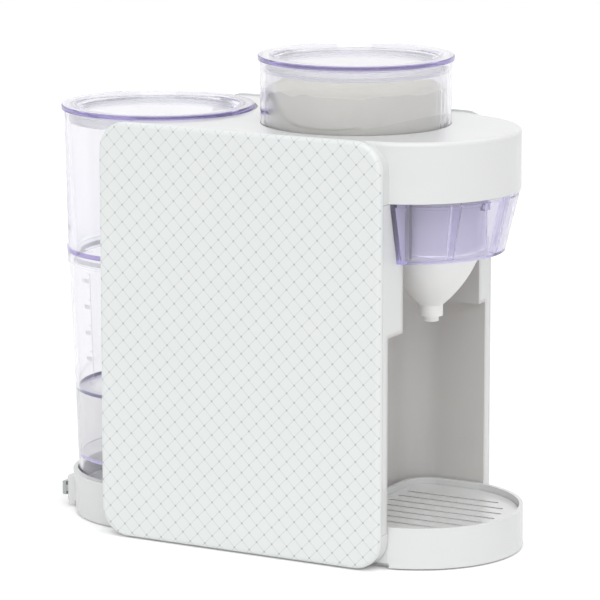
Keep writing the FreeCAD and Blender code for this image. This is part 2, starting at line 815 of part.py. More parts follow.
def tank_valve_poppet():
    z0 = tank_floor_z - valve_drop + 3.0
    stem_top = tank_floor_top + valve_rise + 1.0
    poppet = fuse(post(poppet_radius, z0 + 0.1, z0 + 2.4, tank_x), post(poppet_stem_radius, z0 + 2.4, stem_top, tank_x),
                  post(valve_port_radius - 1.6, z0 - 2.6, z0 + 0.1, tank_x))
    save("tank_valve_poppet", poppet)


def tank_valve_spring():
    z0 = tank_floor_z - valve_drop + 3.0 + 2.7
    z1 = tank_floor_top + valve_rise - 1.7
    turns = 5.0
    wire = 0.45
    path = Part.makeHelix((z1 - z0 - 2 * wire) / turns, z1 - z0 - 2 * wire, 3.6)
    circle = Part.Wire(Part.makeCircle(wire, Vector(3.6, 0, 0), Vector(0, 1, 0)))
    coil = Part.Wire(path).makePipeShell([circle], True, True)
    coil.translate(Vector(tank_x, 0, z0 + wire))
    save("tank_valve_spring", coil)


def tank_seat():
    inner = valve_radius - 2.0 + 0.8
    outer = inner + seat_cup_wall
    z1 = seat_floor_z + seat_cup_height
    cup = turned([(valve_port_radius - 1.2, seat_floor_z), (outer, seat_floor_z), (outer, z1), (inner, z1),
                  (inner, seat_floor_z + 2.0), (valve_port_radius - 1.2, seat_floor_z + 2.0)], tank_x)
    spider = box(tank_x - 6, tank_x + 6, -0.8, 0.8, seat_floor_z, seat_floor_z + 2.0)
    pin_top = tank_floor_z - valve_drop + 0.1
    pin = post(seat_pin_radius, seat_floor_z, pin_top, tank_x)
    spigot = post(valve_port_radius - 0.2, hose_low_z - 4.2, seat_floor_z, tank_x)
    spigot = spigot.cut(post(tube_bore, hose_low_z - 1.0, seat_floor_z + 1, tank_x))
    spigot = spigot.cut(rod_x(tube_bore, tank_x, tank_x + 10, 0, hose_low_z))
    save("tank_seat", fuse(cup, spigot, spider, pin))


def tank_seat_seal():
    inner = valve_radius - 2.0 + 0.8
    z0 = seat_floor_z + 5.0
    save("tank_seat_seal", tube(inner, valve_radius - 2.0 + 0.3, z0, z0 + 2.5, tank_x))


# Funnel guard, funnel and what hangs from the head floor
def guard_round(inset, z0, z1):
    """The slanted round wall of the guard, between two heights."""
    rise = (head_radius - 0.6 - guard_bottom_radius) / guard_height
    bottom = head_joint_z - seam - guard_height
    r0 = guard_bottom_radius + rise * (z0 - bottom) - inset
    r1 = guard_bottom_radius + rise * (z1 - bottom) - inset
    return cone(r0, r1, z0, z1, head_x)


def funnel_guard():
    top = head_joint_z - seam
    bottom = top - guard_height
    face = body_front + guard_face_gap
    front = box(face, 200, -100, 100, 0, 300)
    wall = guard_round(0, bottom, top).cut(guard_round(guard_wall, bottom - 1, top + 1)).common(front)
    flange_z = top - guard_flange
    flange = guard_round(0, flange_z, top).cut(guard_round(5.0, flange_z - 1, top + 1)).common(front)
    floor_top = bottom + guard_wall
    floor = guard_round(0, bottom, floor_top).common(front)
    shelf = box(guard_rear, face + 1, guard_near, guard_far, bottom, floor_top)
    back = box(face, face + guard_wall, -100, 100, bottom, top).common(guard_round(0, bottom, top))
    back = back.cut(box(0, 200, guard_near + guard_wall, guard_far - guard_wall, floor_top, 300))
    sides = []
    for y0 in (guard_near, guard_far - guard_wall):
        sides.append(box(guard_rear, face + 1, y0, y0 + guard_wall, bottom, top - rail_flange_width))
    lip_z = top - rail_flange_width - 2.0
    for y0 in (guard_near - rail_flange_width, guard_far):
        sides.append(box(rail_rear, face - 1.0, y0, y0 + rail_flange_width, lip_z, lip_z + 2.0))
    guard = fuse(wall, flange, floor, shelf, back, *sides)
    guard = guard.fuse(Part.makeCompound(guard_ribs(bottom, top)))
    guard = guard.cut(post(funnel_radius + 0.6, bottom - 1, floor_top + 1, funnel_x))
    save("funnel_guard", guard.removeSplitter())


def guard_ribs(bottom, top):
    """Wedge ribs inside the round wall, wide at the top and narrow at the bottom."""
    ribs = []
    rise = (head_radius - 0.6 - guard_bottom_radius) / guard_height
    low = guard_bottom_radius - 1.0
    high = low + rise * guard_height
    for index in range(guard_rib_count):
        angle = guard_rib_pitch * (index - (guard_rib_count - 1) / 2.0)
        sections = []
        for radius, width, z in ((low, guard_rib_width_bottom, bottom), (high, guard_rib_width_top, top)):
            half = width / 2
            points = [Vector(radius - guard_rib_depth, -half, z), Vector(radius, -half, z),
                      Vector(radius, half, z), Vector(radius - guard_rib_depth, half, z)]
            sections.append(Part.makePolygon(points + points[:1]))
        rib = Part.makeLoft(sections, True)
        rib.translate(Vector(head_x, 0, 0))
        rib.rotate(Vector(head_x, 0, 0), Vector(0, 0, 1), angle)
        ribs.append(rib.common(box(body_front + guard_face_gap, 200, -100, 100, 0, 300)))
    return ribs


def guard_rails():
    top = head_joint_z
    flange_top = head_joint_z - seam - rail_flange_width
    gap = rail_clearance
    rails = []
    for side, wall in ((-1, guard_near), (1, guard_far)):
        inner = wall + side * (rail_flange_width + gap)
        outer = inner + side * 1.6
        web = box(rail_rear, body_front - 1.5, min(inner, outer), max(inner, outer), flange_top - 4.2, top)
        lip_in = wall + side * gap
        lip = box(rail_rear, body_front - 1.5, min(lip_in, outer), max(lip_in, outer),
                  flange_top - 4.2, flange_top - 2.0 - gap)
        rails.append(web.fuse(lip))
    save("guard_rails", Part.makeCompound(rails))


def mixing_funnel():
    wall = funnel_wall
    start = Vector(funnel_radius, 0, funnel_collar_bottom)
    end = Vector(spout_radius, 0, spout_top)
    middle = Vector(25.6, 0, 188.0)
    top_in = funnel_radius - wall
    inner_start = Vector(top_in, 0, funnel_collar_bottom)
    inner_middle = Vector(25.6 - wall * 0.85, 0, 188.0 + wall * 0.6)
    inner_end = Vector(spout_bore_radius + 1.4, 0, spout_top + 1.6)
    line = Part.makeLine
    corner = [Vector(spout_radius, 0, spout_step), Vector(spout_tip_radius, 0, spout_step),
              Vector(spout_tip_radius, 0, spout_tip), Vector(spout_bore_radius, 0, spout_tip)]
    edges = [line(Vector(funnel_radius, 0, funnel_top), start), Part.Arc(start, middle, end).toShape(),
             line(end, corner[0]), line(corner[0], corner[1]), line(corner[1], corner[2]),
             line(corner[2], corner[3]), line(corner[3], inner_end),
             Part.Arc(inner_end, inner_middle, inner_start).toShape(),
             line(inner_start, Vector(top_in, 0, funnel_top)),
             line(Vector(top_in, 0, funnel_top), Vector(funnel_radius, 0, funnel_top))]
    bowl = Part.Face(Part.Wire(edges)).revolve(Vector(0, 0, 0), Vector(0, 0, 1), 360)
    bowl.translate(Vector(funnel_x, 0, 0))
    save("mixing_funnel", bowl)


def funnel_lock_ring():
    """The clear bayonet cup round the funnel's collar, with three lugs."""
    z0 = head_joint_z - seam - guard_height + guard_wall + 0.3
    inner = funnel_radius + 0.3
    cup = tube(inner + 1.6, inner, z0, funnel_top - 2.0, funnel_x)
    flange = tube(funnel_flange_radius, inner, funnel_top - 4.4, funnel_top - 2.0, funnel_x)
    lug = box(funnel_x + inner, funnel_x + funnel_lug_radius, -4.0, 4.0, funnel_top - 7.4, funnel_top - 2.0)
    lugs = turned_copies(lug.common(post(funnel_lug_radius, 0, 300, funnel_x)), funnel_lugs, funnel_x, 0)
    save("funnel_lock_ring", fuse(cup, flange, *lugs))


def water_nozzle():
    z0 = head_joint_z - nozzle_height
    ring = tube(nozzle_radius + nozzle_width / 2, nozzle_radius - nozzle_width / 2, z0, head_joint_z, funnel_x)
    ring = ring.cut(post(outlet_radius + 3.0, 0, 300, dose_x))
    hole = post(nozzle_hole_radius, z0 - 1, head_joint_z + 1, funnel_x + nozzle_radius)
    for copy in turned_copies(hole, nozzle_holes, funnel_x, 0):
        ring = ring.cut(copy)
    for side in (-1, 1):
        ring = ring.fuse(tube(tube_radius, tube_bore, head_joint_z, head_joint_z + 8, funnel_x, side * nozzle_radius))
    save("water_nozzle", ring.removeSplitter())


def powder_chute():
    z0 = head_joint_z - nozzle_height
    pipe = tube(outlet_radius + 2.0, outlet_radius, z0, jar_bottom - 0.3, dose_x)
    flange = tube(outlet_radius + 5.0, outlet_radius, head_joint_z + deck_thickness,
                  head_joint_z + deck_thickness + 1.4, dose_x)
    save("powder_chute", pipe.fuse(flange).removeSplitter())


# Drip tray
def tray_outline(inset, z0, z1):
    half = tray_half_width - inset
    rear = tray_rear + inset
    runway = upright_prism(rear, 300, -half, half, tray_corner_radius - inset, z0, z1, True)
    shape = post(tray_radius - inset, z0, z1, tray_x).fuse(box(rear, tray_x, -half, half, z0, z1))
    return shape.common(runway).removeSplitter()


def drip_tray():
    shell = tray_outline(0, tray_bottom, tray_rim_z)
    shell = shell.cut(tray_outline(tray_wall, tray_bottom + tray_floor, tray_rim_z + 1))
    apron = tray_outline(0, 1.2, tray_bottom).cut(tray_outline(tray_wall, 0, tray_bottom + 1))
    apron = apron.cut(box(0, body_front + 0.5, -100, 100, 0, tray_bottom))
    ledge_z = grille_top - grille_thickness - rest_gap
    ledge = tray_outline(tray_wall - 0.5, ledge_z - 2.0, ledge_z).cut(tray_outline(tray_wall + 2.2, 0, 40))
    save("drip_tray", fuse(shell, apron, ledge))


def drip_grille():
    z0 = grille_top - grille_thickness
    plate = tray_outline(tray_wall + 0.4, z0, grille_top)
    for index in range(-grille_slots_each_side, grille_slots_each_side + 1):
        y = index * grille_slot_pitch
        half = math.sqrt(grille_slot_radius ** 2 - y ** 2)
        x0 = max(tray_x - half, tray_rear + 10)
        x1 = tray_x + half
        slot = box(x0, x1, y - grille_slot_width / 2, y + grille_slot_width / 2, z0 - 1, grille_top + 1)
        slot = slot.fuse(post(grille_slot_width / 2, z0 - 1, grille_top + 1, x0, y))
        slot = slot.fuse(post(grille_slot_width / 2, z0 - 1, grille_top + 1, x1, y))
        plate = plate.cut(slot)
    save("drip_grille", plate.removeSplitter())


# Inner workings
def bottle_sensor():
    eye = rod_x(3.0, bay_back - 6, bay_back + 0.2, 0, 70)
    save("bottle_sensor", eye.fuse(box(bay_back - 10, bay_back - liner_wall - 0.2, -9, 9, 62, 78)).removeSplitter())


def water_pump():
    z = base_joint_z + pump_radius + 0.2
    joint = pump_rear + pump_length * 0.6
    motor = rod_x(pump_radius, joint, pump_rear + pump_length, pump_y, z)
    head = rod_x(pump_radius - 4, pump_rear, joint, pump_y, z)
    foot = box(pump_rear + 4, pump_rear + pump_length - 6, pump_y - 14, pump_y + 14,
               base_joint_z, z - pump_radius + 4)
    save("water_pump", fuse(motor, head, foot))


def water_heater():
    z0 = base_joint_z + heater_foot
    z1 = z0 + heater_height
    tank = post(heater_radius, z0, z1, heater_x, heater_y)
    foot = post(heater_radius - 6, base_joint_z, z0, heater_x, heater_y)
    neck = post(tube_radius + 1.5, z1, z1 + heater_neck, heater_x, heater_y)
    bands = [tube(heater_radius + 1.5, heater_radius - 1, z0 + rise, z0 + rise + 6, heater_x, heater_y)
             for rise in (20, heater_height - 28)]
    save("water_heater", fuse(tank, foot, neck, *bands))


def hose(points, radius, bore):
    """A hose through points: straight runs joined by bends of twice its diameter."""
    bend = 4 * radius
    edges = []
    last = points[0]
    for before, corner, after in zip(points, points[1:], points[2:]):
        into = (corner - before).normalize()
        away = (after - corner).normalize()
        half_turn = into.getAngle(away) / 2
        trim = bend * math.tan(half_turn)
        start = corner - into * trim
        end = corner + away * trim
        centre = corner + (away - into).normalize() * (bend / math.cos(half_turn))
        middle = centre + (corner - centre).normalize() * bend
        edges.append(Part.LineSegment(last, start).toShape())
        edges.append(Part.Arc(start, middle, end).toShape())
        last = end
    edges.append(Part.LineSegment(last, points[-1]).toShape())
    path = Part.Wire(edges)
    direction = points[1] - points[0]
    rings = [Part.Wire(Part.makeCircle(r, points[0], direction)) for r in (radius, bore)]
    outer = path.makePipeShell([rings[0]], True, False)
    inner = path.makePipeShell([rings[1]], True, False)
    return outer.cut(inner)


def suction_hose():
    start = Vector(tank_x + tube_radius + 1.2, 0, hose_low_z)
    pump_z = base_joint_z + pump_radius + 0.2
    points = [start, Vector(hose_riser_x, 0, hose_low_z), Vector(hose_riser_x, pump_y, hose_low_z),
              Vector(hose_riser_x, pump_y, pump_z), Vector(pump_rear - 0.2, pump_y, pump_z)]
    save("suction_hose", hose(points, tube_radius, tube_bore))


def outlet_hose():
    start = Vector(heater_x, heater_y, base_joint_z + heater_foot + heater_height + heater_neck)
    level = head_joint_z + deck_thickness + tube_radius + 0.3
    nozzle_side = funnel_x - tube_radius - 0.2
    points = [start, Vector(heater_x, heater_y, level), Vector(nozzle_side, nozzle_radius, level)]
    save("outlet_hose", hose(points, tube_radius, tube_bore))


def pump_hose():
    """The short hose from the pump's head to the foot of the heater."""
    x = pump_rear + pump_length / 2
    z = base_joint_z + pump_radius + 0.2
    run = rod_y(tube_radius, pump_y, heater_y, x, z).cut(rod_y(tube_bore, pump_y - 1, heater_y + 1, x, z))
    run = run.cut(rod_x(pump_radius - 4, pump_rear, pump_rear + pump_length, pump_y, z))
    save("pump_hose", run.cut(post(heater_radius, base_joint_z, z + 20, heater_x, heater_y)))


def main_board():
    y0 = -inner_half_width + main_board_gap
    save("main_board", box(main_board_rear, main_board_front, y0, y0 + board_thickness,
                           main_board_bottom, main_board_top))


def power_module():
    block = box(-26, 20, -inner_half_width, -inner_half_width + module_depth, 78, 104)
    save("power_module", rounded(block, 1.5, lambda e: e.BoundBox.ZLength > 20))


# Power switch and inlet at the rear
def rear_surface(y):
    return base_rear_x - math.sqrt((base_rear_radius + 0.1) ** 2 - y ** 2)


def switch_collar():
    half = switch_collar_width / 2
    low = switch_z - switch_collar_height / 2 + 1.0
    high = switch_z + switch_collar_height / 2
    plate = box(switch_collar_x, rear_surface(switch_y - half) + 3, switch_y - half, switch_y + half, low, high)
    plate = plate.makeChamfer(2.4, [e for e in plate.Edges if e.BoundBox.XMax < switch_collar_x + 0.01])
    plate = plate.cut(post(base_rear_radius + 0.1, 0, 50, base_rear_x))
    neck = box(switch_collar_x + 3, rear_surface(switch_y) + 8, switch_y - half, switch_y + half,
               switch_z - 7.8, switch_z + 4.4)
    socket = box(switch_collar_x - 1, switch_collar_x + 6, switch_y - rocker_width / 2 - 0.3,
                 switch_y + rocker_width / 2 + 0.3, switch_z - rocker_height / 2 - 0.3,
                 switch_z + rocker_height / 2 + 0.3)
    save("switch_collar", plate.fuse(neck).cut(socket).removeSplitter())


def power_rocker():
    """The grey rocker, a wedge cap on a round back that turns in the collar."""
    half = rocker_width / 2
    high = rocker_height / 2
    pivot = switch_collar_x + 3.6
    cap = box(rocker_tip_x, switch_collar_x - rocker_gap, switch_y - half, switch_y + half,
              switch_z - high, switch_z + high)
    cap = cap.makeChamfer(0.8, [e for e in cap.Edges if e.BoundBox.XMax < rocker_tip_x + 0.01])
    neck = box(switch_collar_x - 1, pivot, switch_y - half, switch_y + half, switch_z - 2.2, switch_z + 2.2)
    barrel = rod_y(2.2, switch_y - half, switch_y + half, pivot, switch_z)
    save("power_rocker", fuse(cap, neck, barrel))


def power_inlet():
    """Two-pin mains socket let into the rear of the base."""
    half = inlet_width / 2
    y0 = inlet_y - half + 0.2
    y1 = inlet_y + half - 0.2
    z0 = inlet_z - inlet_height / 2 + 0.2
    z1 = inlet_z + 5.0
    face = rear_surface(inlet_y + half)
    block = box(face - 3, face + 16, y0, y1, z0, z1)
    block = block.common(post(base_rear_radius - 0.4, 0, 50, base_rear_x))
    socket = box(face - 10, face + 10, y0 + 3, y1 - 3, z0 + 2.4, z1 - 2.4)
    pins = [rod_x(1.2, face + 3, face + 11, inlet_y + side * 4.3, (z0 + z1) / 2) for side in (-1, 1)]
    save("power_inlet", fuse(block.cut(socket), *pins))


base_shell()
base_cover()
rubber_feet()
base_screws()
mid_housing()
bay_liner()
top_shell()
head_floor()
near_side_panel()
far_side_panel()
control_bezel()
display_window()
for button_name, button_x in zip(("plus_button", "minus_button", "menu_button"), button_places()):
    button(button_name, button_x, button_radius)
button("start_button", start_x, start_radius)
control_board()
drive_gear()
idler_gear()
idler_axle()
motor_pinion()
motor_shaft()
dosing_motor()
powder_jar()
powder_hopper()
dosing_wheel()
stirrer()
powder_lid()
powder_lid_seal()
tank_lid()
tank_lid_seal()
tank_lower_vessel()
tank_upper_vessel()
tank_mid_seal()
tank_valve_body()
tank_valve_poppet()
tank_valve_spring()
tank_seat()
tank_seat_seal()
funnel_guard()
guard_rails()
mixing_funnel()
funnel_lock_ring()
water_nozzle()
powder_chute()
drip_tray()
drip_grille()
bottle_sensor()
water_pump()
water_heater()
suction_hose()
pump_hose()
outlet_hose()
main_board()
power_module()
switch_collar()
power_rocker()
power_inlet()
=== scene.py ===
import json
import math

import bpy
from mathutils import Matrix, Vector


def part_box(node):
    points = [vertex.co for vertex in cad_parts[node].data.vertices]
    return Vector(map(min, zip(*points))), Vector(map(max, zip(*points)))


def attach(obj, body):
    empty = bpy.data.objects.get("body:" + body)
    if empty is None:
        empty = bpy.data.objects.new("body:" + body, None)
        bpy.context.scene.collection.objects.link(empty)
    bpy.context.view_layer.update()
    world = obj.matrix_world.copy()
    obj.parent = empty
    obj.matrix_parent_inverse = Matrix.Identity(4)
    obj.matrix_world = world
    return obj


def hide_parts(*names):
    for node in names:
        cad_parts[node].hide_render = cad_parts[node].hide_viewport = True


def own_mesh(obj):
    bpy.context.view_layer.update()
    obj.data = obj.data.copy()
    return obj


# Baby formula maker in a white studio. Sizes are in metres.
MM = 0.001

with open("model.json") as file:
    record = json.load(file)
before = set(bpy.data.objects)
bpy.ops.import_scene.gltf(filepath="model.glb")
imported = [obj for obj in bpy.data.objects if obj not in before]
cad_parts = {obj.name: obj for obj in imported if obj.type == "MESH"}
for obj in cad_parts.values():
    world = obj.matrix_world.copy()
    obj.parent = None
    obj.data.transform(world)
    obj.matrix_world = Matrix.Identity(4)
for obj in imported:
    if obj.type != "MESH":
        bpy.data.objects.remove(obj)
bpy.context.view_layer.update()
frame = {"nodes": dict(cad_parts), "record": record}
nodes = frame["nodes"]

# The camera, at the photograph's viewing angle
CAMERA_AZIMUTH = math.radians(28.94)
CAMERA_ELEVATION = math.radians(11.05)
CAMERA_DISTANCE = 2564 * MM
CAMERA_TARGET = Vector((8.25 * MM, 0.0, 160.63 * MM))
CAMERA_LENS = 224.3
CAMERA_SENSOR = 36.0
CAMERA_NEAR = 0.05
CAMERA_FAR = 50.0

# The light: for each lamp, the side it comes from, its power and its width
AMBIENT_STRENGTH = 0.55
LAMPS = {
    "key": ((0.6, -1.0, 1.2), 1.36, 60),
    "fill": ((-1.0, -0.8, 0.9), 0.12, 70),
    "top": ((0.1, 0.3, 1.0), 0.6, 80),
}
FLOOR_RADIUS = 3.2
FLOOR_LIFT = 0.14

# Places read from the frame
tank_low, tank_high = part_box("tank_lower_vessel")
TANK_X = (tank_low.x + tank_high.x) / 2
jar_low, jar_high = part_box("powder_jar")
JAR_X = (jar_low.x + jar_high.x) / 2
WHEEL_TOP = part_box("dosing_wheel")[1].z
PANEL_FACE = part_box("far_side_panel")[1].y

# The tank's inside
TANK_FLOOR_Z = 43.4 * MM
TANK_FLOOR_RADIUS = 55.39 * MM
TANK_JOINT_Z = 187.0 * MM
TANK_JOINT_RADIUS = 60.8 * MM
TANK_WALL = 2.2 * MM
TANK_RING = 3.3 * MM
TANK_RING_RADIUS = 63.4 * MM
TANK_TAPER = (TANK_JOINT_RADIUS - TANK_FLOOR_RADIUS) / (TANK_JOINT_Z - TANK_FLOOR_Z)

# The water in the tank, which reaches a little way into the wall so that no gap shows
WATER_LEVEL = 89.0 * MM
WATER_OVERLAP = 0.08 * MM
WATER_INSET = 0.8 * MM
WATER_ALPHA = 0.16
WATER_GREY = (0.66, 0.67, 0.66)
# Near the wall, the water's surface gets a painted reflection of the tank's violet, in this colour and at
# these sizes.
PAINTED_REFLECTION_VIOLET = (0.19, 0.175, 0.38)
PAINTED_REFLECTION_LAYER = 0.1 * MM
PAINTED_REFLECTION_START = 0.72
PAINTED_REFLECTION_TINT = 5.0
PAINTED_REFLECTION_ALPHA = 2.0
MENISCUS_HEIGHT = 2.2 * MM
MENISCUS_DEPTH = 0.7 * MM
MENISCUS_TOP = 0.25

# The powder, which lies in the hopper over the dosing wheel
POWDER_RADIUS = 59.45 * MM
POWDER_MOUTH = 50.0 * MM
POWDER_KNEE = WHEEL_TOP + 6.3 * MM
POWDER_BOTTOM = WHEEL_TOP + 2.4 * MM
POWDER_LEVEL = 311.5 * MM
POWDER_TOP_LAYER = 0.1 * MM
POWDER_RINGS = 14
POWDER_RING_WIDTH = 4.0 * MM
POWDER_DRIFTS = ((32 * MM, 7.0 * MM), (10 * MM, 2.0 * MM))

# Clear plastic. Light that has met more than a few faces leaves it in the colour of its glow.
PLASTIC_REFRACTION = 1.49
VIOLET_DEPTH = (0.36, 0.30, 0.80)
# Painted light: the violet that light gathers running along the rims, painted on their outer faces.
PAINTED_EDGE_VIOLET = (0.23, 0.175, 0.50)
FROST_TINT = (0.93, 0.925, 0.945)
FROST_ROUGHNESS = 0.38
CLEAR_GLOW = (0.93, 0.93, 0.945)
VIOLET_GLOW = (0.885, 0.875, 0.93)
TRAPPED_AFTER = 4
CLEAR_FACE = (0.99, 0.99, 0.995)
LID_FLANGE = 3.0 * MM
LID_DISH_MARGIN = 9.2 * MM
LID_RIM = 1.1 * MM
LID_FROST_GAP = 0.2 * MM

# How far tone and gloss drift over moulded plastic and over the side plates
TONE_DRIFT = 0.965
GLOSS_DRIFT = 0.1
PANEL_TONE_DRIFT = 0.975
PANEL_GLOSS_DRIFT = 0.08
SKIN_GRAIN = 1400.0

# The circuit boards
BOARD_PITCH = 2.54 * MM
BOARD_TRACK = 0.25 * MM
BOARD_SOLDER = 0.55 * MM
BOARD_GREEN = (0.015, 0.12, 0.045)
TRACK_GREEN = (0.04, 0.24, 0.08)
SOLDER_GREY = (0.55, 0.55, 0.56)

# The lattice printed on both side plates
LATTICE_X = -24.77 * MM
LATTICE_Z = 173.55 * MM
LATTICE_STEP_X = 5.77 * MM
LATTICE_STEP_Z = 5.832 * MM
LATTICE_LINE = 0.23 * MM
LATTICE_DOT = 0.74 * MM
PRINT_EDGE = PANEL_FACE - 1.8 * MM

# The level scale on the tank
SCALE_ANGLE = math.radians(-108.5)
SCALE_TOP = 176.2 * MM
SCALE_STEP = 18.3 * MM
SCALE_MARKS = 5
SCALE_VOLUME = 200
SCALE_LIFT = 0.08 * MM
SCALE_LONG = 3.0 * MM
SCALE_SHORT = 1.6 * MM
SCALE_LINE = 0.2 * MM
SCALE_THIN_LINE = 0.15 * MM
SCALE_BAR_DEPTH = 0.05 * MM
SCALE_NUMBER_SIZE = 4.2 * MM
SCALE_NUMBER_DEPTH = 0.03 * MM
SCALE_NUMBER_ASIDE = 1.3 * MM
SCALE_NUMBER_BELOW = 6.7 * MM

# Marks on the buttons
MARK_ARM = 6.0 * MM
MARK_LINE = 0.9 * MM
MARK_STEP = 2.0 * MM
MARK_DEPTH = 0.12 * MM
MARK_LIFT = 0.03 * MM
START_MARK_RADIUS = 5.0 * MM

# The figures in the display, on a grid of seven bars
DIGIT_WIDTH = 4.2 * MM
DIGIT_HEIGHT = 7.6 * MM
DIGIT_PITCH = 6.6 * MM
DIGIT_BAR = 0.8 * MM
DIGIT_BARS = {"0": "abcdef", "1": "bc", "2": "abged"}

# Mesh making
SMOOTH_ANGLE = math.radians(35)
POWDER_SMOOTH_ANGLE = math.radians(50)
ROUND = 160
DOUBLES = 0.005 * MM


# Shader building
def plug(tree, socket, value):
    if isinstance(value, Signal):
        tree.links.new(value.socket, socket)
    elif hasattr(socket.default_value, "__len__") and len(value) == 3 and len(socket.default_value) == 4:
        socket.default_value = (*value, 1.0)
    else:
        socket.default_value = value


class Signal:
    """A value in a material. Arithmetic on it adds Math nodes."""

    def __init__(self, tree, socket):
        self.tree = tree
        self.socket = socket

    def calculate(self, operation, *values):
        made = self.tree.nodes.new("ShaderNodeMath")
        made.operation = operation
        for socket, value in zip(made.inputs, values):
            plug(self.tree, socket, value)
        return Signal(self.tree, made.outputs[0])

    def __add__(self, other):
        return self.calculate("ADD", self, other)

    def __sub__(self, other):
        return self.calculate("SUBTRACT", self, other)

    def __rsub__(self, other):
        return self.calculate("SUBTRACT", other, self)

    def __mul__(self, other):
        return self.calculate("MULTIPLY", self, other)

    def __truediv__(self, other):
        return self.calculate("DIVIDE", self, other)

    def __lt__(self, other):
        return self.calculate("LESS_THAN", self, other)

    def __gt__(self, other):
        return self.calculate("GREATER_THAN", self, other)

    def __or__(self, other):
        return self.calculate("MAXIMUM", self, other)

    def rounded(self):
        return self.calculate("ROUND", self)

    def size(self):
        return self.calculate("ABSOLUTE", self)

    def root(self):
        return self.calculate("SQRT", self)

    __radd__ = __add__
    __rmul__ = __mul__


class Finish:
    """One material, built node by node."""

    def __init__(self, name):
        self.material = bpy.data.materials.new(name)
        self.material.use_nodes = True
        self.tree = self.material.node_tree
        self.tree.nodes.clear()

    def node(self, kind, settings=None, values=None, output=0):
        made = self.tree.nodes.new("ShaderNode" + kind)
        for label, value in (settings or {}).items():
            setattr(made, label, value)
        for label, value in (values or {}).items():
            plug(self.tree, made.inputs[label], value)
        return Signal(self.tree, made.outputs[output])

    def join(self, kind, *inputs):
        """A Mix Shader or Add Shader node with its inputs in order."""
        made = self.tree.nodes.new("ShaderNode" + kind)
        for socket, signal in zip(made.inputs, inputs):
            self.tree.links.new(signal.socket, socket)
        return Signal(self.tree, made.outputs[0])

    def plastic(self, colour, roughness, **more):
        values = {"Base Color": colour, "Roughness": roughness}
        values.update({label.replace("_", " "): value for label, value in more.items()})
        return self.node("BsdfPrincipled", values=values)

    def place(self):
        """X, Y and Z on the object."""
        made = self.tree.nodes.new("ShaderNodeTexCoord")
        split = self.tree.nodes.new("ShaderNodeSeparateXYZ")
        self.tree.links.new(made.outputs["Object"], split.inputs[0])
        return [Signal(self.tree, socket) for socket in split.outputs]

    def noise(self, scale, detail=2.0, stretch=(1.0, 1.0, 1.0)):
        """A soft cloud fixed to the object, from 0 to 1."""
        where = self.tree.nodes.new("ShaderNodeTexCoord")
        placed = self.node("Mapping", values={"Vector": Signal(self.tree, where.outputs["Object"]),
                                              "Scale": stretch})
        return self.node("TexNoise", values={"Vector": placed, "Scale": scale, "Detail": detail})

    def away(self, centre_x):
        """The distance from an upright axis."""
        x, y, _ = self.place()
        off = x - centre_x
        return (off * off + y * y).root()

    def tint(self, share, colour, other):
        """From colour to other as share goes from 0 to 1."""
        made = self.tree.nodes.new("ShaderNodeMix")
        made.data_type = "RGBA"
        first, second, result = made.inputs[6], made.inputs[7], made.outputs[2]
        plug(self.tree, made.inputs["Factor"], share)
        plug(self.tree, first, colour)
        plug(self.tree, second, other)
        return Signal(self.tree, result)

    def polish(self):
        """The roughness of a polished face, not quite even."""
        return self.noise(30.0) * 0.02 + 0.01

    def bump(self, height, distance, strength=0.3):
        return self.node("Bump", values={"Strength": strength, "Distance": distance, "Height": height})

    def done(self, surface, volume=None):
        output = self.tree.nodes.new("ShaderNodeOutputMaterial")
        self.tree.links.new(surface.socket, output.inputs["Surface"])
        if volume:
            self.tree.links.new(volume.socket, output.inputs["Volume"])
        return self.material

    def see_through(self, tint, roughness, depth, body=0.015, glow=CLEAR_GLOW):
        """Clear plastic that lets lamp light through and gathers violet along its length.

        Light trapped between its faces comes out after a few turns, in the colour of its glow.
        """
        glass = self.plastic(tint, roughness, Transmission_Weight=1.0 - body, IOR=PLASTIC_REFRACTION)
        open_air = self.node("BsdfTransparent", values={"Color": CLEAR_FACE})
        way_out = self.node("BsdfTransparent", values={"Color": glow})
        shadow = self.node("LightPath", output="Is Shadow Ray")
        trapped = self.node("LightPath", output="Ray Depth") > TRAPPED_AFTER
        absorbed = self.node("VolumeAbsorption", values={"Color": VIOLET_DEPTH, "Density": depth})
        plastic = self.join("MixShader", trapped, glass, way_out)
        return self.done(self.join("MixShader", shadow, plastic, open_air), absorbed)


# Finishes
def moulded(name, colour, roughness, grain=SKIN_GRAIN, depth=0.03 * MM, **more):
    """Moulded plastic with a fine skin, whose gloss and tone drift a little."""
    finish = Finish(name)
    cloud = finish.noise(14.0)
    skin = finish.noise(grain, 3.0)
    deeper = tuple(channel * TONE_DRIFT for channel in colour)
    gloss = (cloud - 0.5) * GLOSS_DRIFT + roughness
    surface = finish.plastic(finish.tint(cloud, deeper, colour), gloss,
                             Normal=finish.bump(skin, depth), **more)
    return finish.done(surface)


def brushed(name, colour, roughness, stretch):
    """Metal with fine lines along one direction."""
    finish = Finish(name)
    lines = finish.noise(260.0, 4.0, stretch)
    dark = tuple(channel * 0.8 for channel in colour)
    gloss = lines * 0.25 + (roughness - 0.12)
    surface = finish.plastic(finish.tint(lines, dark, colour), gloss, Metallic=1.0,
                             Normal=finish.bump(lines, 0.02 * MM))
    return finish.done(surface)


def circuit_board(name):
    """Green board with copper lines and soldered points."""
    finish = Finish(name)
    x, _, z = finish.place()
    column = x / BOARD_PITCH
    row = z / BOARD_PITCH
    off_x = (column - column.rounded()).size() * BOARD_PITCH
    off_z = (row - row.rounded()).size() * BOARD_PITCH
    track = off_x < BOARD_TRACK
    solder = (off_x * off_x + off_z * off_z).root() < BOARD_SOLDER
    colour = finish.tint(track, BOARD_GREEN, TRACK_GREEN)
    colour = finish.tint(solder, colour, SOLDER_GREY)
    return finish.done(finish.plastic(colour, 0.4, Coat_Weight=0.3))


def clear_plastic(name, depth, tint=CLEAR_FACE, body=0.015, glow=CLEAR_GLOW):
    """Clear plastic of one colour."""
    finish = Finish(name)
    return finish.see_through(tint, finish.polish(), depth, body, glow)


